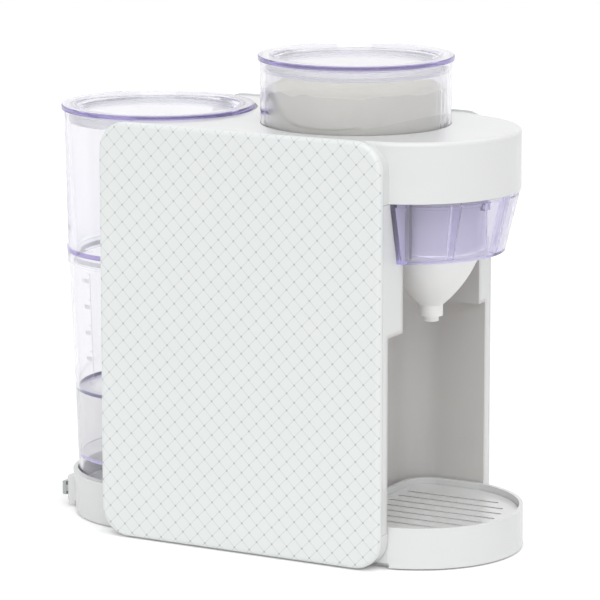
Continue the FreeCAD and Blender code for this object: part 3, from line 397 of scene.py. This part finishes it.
def ringed_clear(name, centre_x, ring_radius, depth, ring_top=None, frosted_below=None):
    """Clear plastic whose outer ring is painted violet from outside, standing in for the violet that light
    gathers along the plastic.

    The ring can end at a height. Below another height, what lies outside a lid's dish can be frosted.
    """
    finish = Finish(name)
    outside = 1.0 - finish.node("NewGeometry", output="Backfacing")
    # The outer ring's violet is painted light, seen only from outside.
    painted_rim = (finish.away(centre_x) > ring_radius) * outside
    if ring_top:
        painted_rim = painted_rim * (finish.place()[2] < ring_top)
    colour = finish.tint(painted_rim, CLEAR_FACE, PAINTED_EDGE_VIOLET)
    roughness = finish.polish()
    if frosted_below:
        outside_dish = finish.away(centre_x) > ring_radius - LID_DISH_MARGIN
        skirt = (finish.place()[2] < frosted_below) * outside_dish
        roughness = skirt * FROST_ROUGHNESS + roughness
        colour = finish.tint(skirt, colour, FROST_TINT)
    return finish.see_through(colour, roughness, depth)


def lid_finish(name, node):
    """A lid's plastic, with a painted violet rim and a frosted plug."""
    low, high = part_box(node)
    centre_x = (low.x + high.x) / 2
    rim = (high.x - low.x) / 2 - LID_RIM
    return ringed_clear(name, centre_x, rim, 10.0, frosted_below=high.z - LID_FLANGE - LID_FROST_GAP)


def printed_panel(name, ground, line, dot):
    """A satin plate with a fine diamond lattice and a dot on each crossing."""
    finish = Finish(name)
    x, y, z = finish.place()
    across = (x - LATTICE_X) / LATTICE_STEP_X
    along = (z - LATTICE_Z) / LATTICE_STEP_Z
    rising = (across + along) * 0.5
    falling = (across - along) * 0.5
    cell = math.hypot(LATTICE_STEP_X, LATTICE_STEP_Z)
    off_rising = (rising - rising.rounded()).size() * cell
    off_falling = (falling - falling.rounded()).size() * cell
    face = y.size() > PRINT_EDGE
    on_line = ((off_rising < LATTICE_LINE) | (off_falling < LATTICE_LINE)) * face
    on_dot = ((off_rising * off_rising + off_falling * off_falling).root() < LATTICE_DOT) * face
    cloud = finish.noise(9.0)
    deeper = tuple(channel * PANEL_TONE_DRIFT for channel in ground)
    shade = finish.tint(cloud, deeper, ground)
    colour = finish.tint(on_dot, finish.tint(on_line, shade, line), dot)
    skin = finish.noise(SKIN_GRAIN, 3.0)
    gloss = (cloud - 0.5) * PANEL_GLOSS_DRIFT + 0.3
    surface = finish.plastic(colour, gloss, Coat_Weight=0.25, Coat_Roughness=0.1,
                             Normal=finish.bump(skin, 0.02 * MM))
    return finish.done(surface)


def soft_silicone(name):
    """Milky silicone that lets some light through."""
    finish = Finish(name)
    cloud = finish.noise(40.0)
    surface = finish.plastic((0.80, 0.80, 0.815), (cloud - 0.5) * GLOSS_DRIFT + 0.45, Alpha=0.6,
                             Normal=finish.bump(finish.noise(1800.0), 0.02 * MM))
    return finish.done(surface)


def water_finish():
    """Still water, drawn as a thin grey film so that what is behind it stays bright.

    Near the wall, its surface carries a painted reflection of the tank's violet, which also makes it less
    clear.
    """
    finish = Finish("water")
    # A painted reflection of the tank's violet, near the wall on the water's top face.
    near_wall = (finish.away(TANK_X) / tank_inside(WATER_LEVEL) - PAINTED_REFLECTION_START) | 0.0
    painted_reflection = near_wall * (finish.place()[2] > WATER_LEVEL - PAINTED_REFLECTION_LAYER)
    colour = finish.tint(painted_reflection * PAINTED_REFLECTION_TINT, WATER_GREY, PAINTED_REFLECTION_VIOLET)
    return finish.done(finish.plastic(colour, 0.03, Alpha=painted_reflection * PAINTED_REFLECTION_ALPHA + WATER_ALPHA, IOR=1.33))


def meniscus_painted_shade():
    """Painted shade: a dark violet line where the water meets the tank's wall."""
    finish = Finish("meniscus")
    return finish.done(finish.plastic((0.17, 0.15, 0.32), 0.03, Alpha=0.85, IOR=1.33))


def powder_finish():
    """Milk powder, cream with fine grains."""
    finish = Finish("powder")
    drift = finish.noise(40.0)
    colour = finish.tint(drift, (0.64, 0.635, 0.54), (0.73, 0.72, 0.615))
    grains = finish.noise(900.0, 3.0)
    return finish.done(finish.plastic(colour, 0.9, Normal=finish.bump(grains, 0.6 * MM, 0.35)))


def display_figures():
    """Lit figures, pale blue."""
    finish = Finish("display_figures")
    return finish.done(finish.plastic((0.75, 0.86, 0.95), 0.3, Emission_Color=(0.72, 0.86, 1.0),
                                      Emission_Strength=0.6))


def finishes():
    white = (0.74, 0.75, 0.745)
    return {
        "white_shell": moulded("white_shell", white, 0.24, Coat_Weight=0.35, Coat_Roughness=0.06),
        "patterned_panel": printed_panel("patterned_panel", (0.765, 0.79, 0.785), (0.62, 0.65, 0.645),
                                         (0.47, 0.49, 0.49)),
        # The bay's lining is a darker grey than the white shell.
        "bay_grey": moulded("bay_grey", (0.62, 0.605, 0.59), 0.4),
        "clear_plastic": clear_plastic("clear_plastic", 9.0),
        "violet_clear": clear_plastic("violet_clear", 28.0, (0.955, 0.945, 0.985), 0.05, VIOLET_GLOW),
        "funnel_plastic": moulded("funnel_plastic", (0.86, 0.86, 0.84), 0.42, Subsurface_Weight=0.15,
                                  Subsurface_Radius=(0.006, 0.006, 0.006)),
        "silicone": soft_silicone("silicone"),
        "rubber": moulded("rubber", (0.09, 0.09, 0.095), 0.75, 700.0, 0.08 * MM),
        "gear_plastic": moulded("gear_plastic", (0.78, 0.78, 0.75), 0.45),
        "steel": brushed("steel", (0.62, 0.62, 0.63), 0.28, (1.0, 1.0, 0.06)),
        "motor_metal": brushed("motor_metal", (0.40, 0.41, 0.42), 0.4, (0.06, 1.0, 1.0)),
        "circuit_board": circuit_board("circuit_board"),
        "control_grey": moulded("control_grey", (0.20, 0.21, 0.22), 0.3, Coat_Weight=0.3),
        "display_glass": moulded("display_glass", (0.012, 0.014, 0.018), 0.08, Coat_Weight=0.6),
        "button_white": moulded("button_white", (0.82, 0.83, 0.83), 0.3),
        "tank_lid": lid_finish("tank_lid_clear", "tank_lid"),
        "powder_lid": lid_finish("powder_lid_clear", "powder_lid"),
        "tank_upper_vessel": ringed_clear("tank_ring_clear", TANK_X, TANK_RING_RADIUS, 9.0,
                                          ring_top=TANK_JOINT_Z + TANK_RING),
        "dosing_wheel": moulded("dosing_wheel", (0.64, 0.635, 0.56), 0.5),
        "power_rocker": moulded("rocker_grey", (0.44, 0.46, 0.455), 0.35),
        "water": water_finish(),
        "meniscus": meniscus_painted_shade(),
        "powder": powder_finish(),
        "scale_grey": moulded("scale_grey", (0.60, 0.60, 0.62), 0.6),
        "mark_grey": moulded("mark_grey", (0.22, 0.23, 0.24), 0.5),
        "figures": display_figures(),
    }


# Nodes whose finish is their own, and not their slot's
OWN_FINISH = ("tank_lid", "powder_lid", "tank_upper_vessel", "dosing_wheel", "power_rocker")


# Modelling helpers
def fresh():
    if bpy.context.object and bpy.context.object.mode != "OBJECT":
        bpy.ops.object.mode_set(mode="OBJECT")
    bpy.ops.object.select_all(action="DESELECT")


def named(name):
    piece = bpy.context.object
    piece.name = name
    piece.data.name = name
    return piece


def settle(piece):
    """Put the place and the modifiers of a piece into its mesh."""
    fresh()
    piece.select_set(True)
    bpy.context.view_layer.objects.active = piece
    bpy.ops.object.convert(target="MESH")
    bpy.ops.object.transform_apply(location=True, rotation=True, scale=True)
    return bpy.context.object


def joined(name, parts):
    fresh()
    for part in parts:
        part.select_set(True)
    bpy.context.view_layer.objects.active = parts[0]
    bpy.ops.object.join()
    return named(name)


def dress(piece, finish, body):
    """Give a piece its finish and the body that carries it."""
    piece.data.materials.clear()
    piece.data.materials.append(finish)
    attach(piece, body)
    return piece


def pick_faces(piece, wanted):
    """Edit a piece with only the wanted faces selected."""
    bpy.ops.object.mode_set(mode="EDIT")
    bpy.ops.mesh.select_mode(type="FACE")
    bpy.ops.mesh.select_all(action="DESELECT")
    bpy.ops.object.mode_set(mode="OBJECT")
    for face in piece.data.polygons:
        face.select = wanted(face)
    bpy.ops.object.mode_set(mode="EDIT")


def is_flat(face):
    return abs(face.normal.z) > 0.9


def drum(name, radius, low, high, centre_x, vertices=128, top_radius=None):
    """A closed round block. With a top radius of its own it tapers."""
    fresh()
    bpy.ops.mesh.primitive_cone_add(vertices=vertices, radius1=radius, radius2=top_radius or radius,
                                    depth=high - low, end_fill_type="NGON",
                                    location=(centre_x, 0, (low + high) / 2))
    return named(name)


# Contents of the machine
def tank_inside(z):
    """The radius of the tank's inside at a height."""
    return TANK_FLOOR_RADIUS + TANK_TAPER * (z - TANK_FLOOR_Z)


def water_fill(finish):
    """Water from the tank's floor to its level."""
    low = TANK_FLOOR_Z + WATER_OVERLAP
    piece = drum("water_fill", tank_inside(low) + WATER_OVERLAP, low, WATER_LEVEL, TANK_X, ROUND,
                 tank_inside(WATER_LEVEL) + WATER_OVERLAP)
    pick_faces(piece, is_flat)
    bpy.ops.mesh.inset(thickness=WATER_INSET)
    bpy.ops.object.mode_set(mode="OBJECT")
    settle(piece)
    bpy.ops.object.shade_smooth_by_angle(angle=SMOOTH_ANGLE)
    dress(piece, finish, "water_tank")


def meniscus(finish):
    """The edge of the water, drawn up the wall and thinner towards its top."""
    radius = tank_inside(WATER_LEVEL)
    piece = drum("water_edge", radius, WATER_LEVEL, WATER_LEVEL + MENISCUS_HEIGHT, TANK_X, ROUND)
    pick_faces(piece, is_flat)
    bpy.ops.mesh.delete(type="ONLY_FACE")
    bpy.ops.object.mode_set(mode="OBJECT")
    foot = piece.vertex_groups.new(name="foot")
    foot.add([v.index for v in piece.data.vertices if v.co.z < 0], 1.0, "ADD")
    foot.add([v.index for v in piece.data.vertices if v.co.z > 0], MENISCUS_TOP, "ADD")
    wall = piece.modifiers.new("wall", "SOLIDIFY")
    wall.thickness = MENISCUS_DEPTH
    wall.vertex_group = "foot"
    settle(piece)
    bpy.ops.object.shade_smooth_by_angle(angle=SMOOTH_ANGLE)
    dress(piece, finish, "water_tank")


def valve_spring(finish):
    """The spring of the tank's valve, carried with the water tank."""
    piece = bpy.data.objects.new("valve_spring", nodes["tank_valve_spring"].data.copy())
    bpy.context.collection.objects.link(piece)
    fresh()
    piece.select_set(True)
    bpy.context.view_layer.objects.active = piece
    bpy.ops.object.mode_set(mode="EDIT")
    bpy.ops.mesh.select_all(action="SELECT")
    bpy.ops.mesh.remove_doubles(threshold=DOUBLES)
    bpy.ops.object.mode_set(mode="OBJECT")
    bpy.ops.object.shade_smooth_by_angle(angle=SMOOTH_ANGLE)
    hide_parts("tank_valve_spring")
    dress(piece, finish, "water_tank")
    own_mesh(piece)


def powder_fill(finish):
    """Powder with an uneven top, in the hopper."""
    piece = drum("powder_fill", POWDER_RADIUS, POWDER_KNEE, POWDER_LEVEL, JAR_X)
    pick_faces(piece, lambda face: face.normal.z < -0.9)
    bpy.ops.mesh.extrude_region_move(TRANSFORM_OT_translate={"value": (0, 0, POWDER_BOTTOM - POWDER_KNEE)})
    share = POWDER_MOUTH / POWDER_RADIUS
    bpy.ops.transform.resize(value=(share, share, 1.0), center_override=(JAR_X, 0, POWDER_BOTTOM))
    bpy.ops.object.mode_set(mode="OBJECT")
    pick_faces(piece, lambda face: face.normal.z > 0.9)
    for _ in range(POWDER_RINGS):
        bpy.ops.mesh.inset(thickness=POWDER_RING_WIDTH)
    bpy.ops.object.mode_set(mode="OBJECT")
    top = piece.vertex_groups.new(name="top")
    height = max(v.co.z for v in piece.data.vertices)
    top.add([v.index for v in piece.data.vertices if v.co.z > height - POWDER_TOP_LAYER], 1.0, "ADD")
    for size, strength in POWDER_DRIFTS:
        drift = bpy.data.textures.new("powder_drift", "CLOUDS")
        drift.noise_scale = size
        modifier = piece.modifiers.new("drift", "DISPLACE")
        modifier.texture = drift
        modifier.direction = "Z"
        modifier.texture_coords = "GLOBAL"
        modifier.mid_level = 0.5
        modifier.strength = strength
        modifier.vertex_group = "top"
    piece = settle(piece)
    bpy.ops.object.shade_smooth_by_angle(angle=POWDER_SMOOTH_ANGLE)
    dress(piece, finish, "powder_container")


# The level scale on the tank
def wrap_on_tank(piece):
    """Bend a flat mark, drawn in the XZ plane, round the tank."""
    for vertex in piece.data.vertices:
        across, proud, z = vertex.co
        radius = tank_inside(z) + TANK_WALL + SCALE_LIFT + proud
        angle = SCALE_ANGLE + across / radius
        vertex.co = (TANK_X + radius * math.cos(angle), radius * math.sin(angle), z)


def scale_bar(x0, x1, z0, z1):
    fresh()
    bpy.ops.mesh.primitive_cube_add(size=1, location=((x0 + x1) / 2, 0.0, (z0 + z1) / 2))
    bar = bpy.context.object
    bar.dimensions = (x1 - x0, SCALE_BAR_DEPTH, z1 - z0)
    return settle(bar)


def scale_number(text, z):
    fresh()
    bpy.ops.object.text_add(location=(-SCALE_NUMBER_ASIDE, 0, z), rotation=(math.pi / 2, 0, 0))
    number = bpy.context.object
    number.data.body = text
    number.data.size = SCALE_NUMBER_SIZE
    number.data.align_x = "RIGHT"
    number.data.extrude = SCALE_NUMBER_DEPTH
    return settle(number)


def level_scale(finish):
    """An upright line with long and short bars, and a number under each long one."""
    foot = SCALE_TOP - SCALE_STEP * (SCALE_MARKS - 1)
    marks = [scale_bar(-SCALE_LINE, SCALE_LINE, foot, SCALE_TOP)]
    for index in range(SCALE_MARKS):
        z = SCALE_TOP - SCALE_STEP * index
        marks.append(scale_bar(-SCALE_LONG, SCALE_LINE, z - SCALE_LINE, z + SCALE_LINE))
        marks.append(scale_number(str(SCALE_VOLUME * (SCALE_MARKS - index)), z - SCALE_NUMBER_BELOW))
        if index:
            half = z + SCALE_STEP / 2
            marks.append(scale_bar(-SCALE_SHORT, 0.0, half - SCALE_THIN_LINE, half + SCALE_THIN_LINE))
    piece = joined("level_scale", marks)
    wrap_on_tank(piece)
    dress(piece, finish, "water_tank")


# Marks on the buttons: plus, minus, a list and a triangle
def raised_bars(name, node, finish, body, bars):
    """Flat bars on the far face of a piece. Each has its offset, width and height."""
    low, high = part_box(node)
    centre = (low + high) / 2
    made = []
    for dx, dz, width, height in bars:
        fresh()
        bpy.ops.mesh.primitive_cube_add(size=1, location=(centre.x + dx, high.y + MARK_LIFT, centre.z + dz))
        bpy.context.object.dimensions = (width, MARK_DEPTH, height)
        made.append(settle(bpy.context.object))
    dress(joined(name, made), finish, body)


def button_marks(finish):
    marks = {
        "minus": [(0, 0, MARK_ARM, MARK_LINE)],
        "plus": [(0, 0, MARK_ARM, MARK_LINE), (0, 0, MARK_LINE, MARK_ARM)],
        "menu": [(0, step * MARK_STEP, MARK_ARM, MARK_LINE * 0.8) for step in (-1, 0, 1)],
    }
    for label, bars in marks.items():
        raised_bars(label + "_mark", label + "_button", finish, label + "_button", bars)
    low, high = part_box("start_button")
    centre = (low + high) / 2
    fresh()
    bpy.ops.mesh.primitive_cylinder_add(vertices=3, radius=START_MARK_RADIUS, depth=MARK_DEPTH,
                                        location=(centre.x, high.y + MARK_LIFT, centre.z),
                                        rotation=(math.pi / 2, -math.pi / 2, 0))
    dress(settle(named("start_mark")), finish, "start_button")


def figures(finish, number):
    """Figures of seven bars in the display, read from the far side."""
    side = DIGIT_WIDTH / 2
    half = DIGIT_HEIGHT / 2
    upright = half - DIGIT_BAR
    layout = {
        "a": (0, half, DIGIT_WIDTH - DIGIT_BAR, DIGIT_BAR),
        "b": (-side, half / 2, DIGIT_BAR, upright),
        "c": (-side, -half / 2, DIGIT_BAR, upright),
        "d": (0, -half, DIGIT_WIDTH - DIGIT_BAR, DIGIT_BAR),
        "e": (side, -half / 2, DIGIT_BAR, upright),
        "f": (side, half / 2, DIGIT_BAR, upright),
        "g": (0, 0, DIGIT_WIDTH - DIGIT_BAR, DIGIT_BAR),
    }
    bars = []
    for index, digit in enumerate(number):
        shift = ((len(number) - 1) / 2 - index) * DIGIT_PITCH
        for label in DIGIT_BARS[digit]:
            dx, dz, width, height = layout[label]
            bars.append((dx + shift, dz, width, height))
    raised_bars("display_figures", "display_window", finish, "root", bars)


# Studio
def studio():
    """A pale floor and a white world, brighter where it is seen than where it lights."""
    fresh()
    bpy.ops.mesh.primitive_circle_add(vertices=96, radius=FLOOR_RADIUS, fill_type="NGON")
    floor = named("studio_floor")
    finish = Finish("studio_floor")
    matte = finish.node("BsdfDiffuse", values={"Color": (0.97, 0.97, 0.97)})
    lift = finish.node("LightPath", output="Is Camera Ray") * FLOOR_LIFT
    glow = finish.node("Emission", values={"Color": (1, 1, 1), "Strength": lift})
    floor.data.materials.append(finish.done(finish.join("AddShader", matte, glow)))
    world = bpy.data.worlds.new("studio")
    bpy.context.scene.world = world
    world.use_nodes = True
    tree = world.node_tree
    tree.nodes.clear()
    path = tree.nodes.new("ShaderNodeLightPath")
    seen = Signal(tree, path.outputs["Is Camera Ray"]) | Signal(tree, path.outputs["Is Glossy Ray"])
    seen = seen | Signal(tree, path.outputs["Is Transmission Ray"])
    strength = AMBIENT_STRENGTH + seen * (1.0 - AMBIENT_STRENGTH)
    background = tree.nodes.new("ShaderNodeBackground")
    plug(tree, background.inputs["Strength"], strength)
    background.inputs["Color"].default_value = (1, 1, 1, 1)
    output = tree.nodes.new("ShaderNodeOutputWorld")
    tree.links.new(background.outputs[0], output.inputs["Surface"])


def lights():
    """Wide, far lamps, so that the floor is lit evenly."""
    for name, (side, power, width) in LAMPS.items():
        fresh()
        bpy.ops.object.light_add(type="SUN", location=side)
        lamp = bpy.context.object
        lamp.name = name
        lamp.data.energy = power
        lamp.data.angle = math.radians(width)
        lamp.rotation_mode = "QUATERNION"
        lamp.rotation_quaternion = (-Vector(side)).to_track_quat("-Z", "Y")


def camera():
    back = Vector((math.sin(CAMERA_AZIMUTH) * math.cos(CAMERA_ELEVATION),
                   -math.cos(CAMERA_AZIMUTH) * math.cos(CAMERA_ELEVATION), math.sin(CAMERA_ELEVATION)))
    fresh()
    bpy.ops.object.camera_add(location=CAMERA_TARGET + back * CAMERA_DISTANCE)
    made = bpy.context.object
    made.data.lens = CAMERA_LENS
    made.data.sensor_width = CAMERA_SENSOR
    made.rotation_mode = "QUATERNION"
    made.rotation_quaternion = (-back).to_track_quat("-Z", "Y")
    made.data.clip_start = CAMERA_NEAR
    made.data.clip_end = CAMERA_FAR
    bpy.context.scene.camera = made


def dress_frame(made):
    """Give each solid the finish of its slot, or its own."""
    for row in frame["record"]["subparts"]:
        node = row["node"]
        finish = made[node] if node in OWN_FINISH else made[row["material_slot"]]
        mesh = nodes[node].data
        mesh.materials.clear()
        mesh.materials.append(finish)


camera()
made = finishes()
dress_frame(made)
water_fill(made["water"])
meniscus(made["meniscus"])
powder_fill(made["powder"])
valve_spring(made["steel"])
level_scale(made["scale_grey"])
button_marks(made["mark_grey"])
figures(made["figures"], "120")
studio()
lights()
bpy.context.scene.view_settings.view_transform = "Standard"
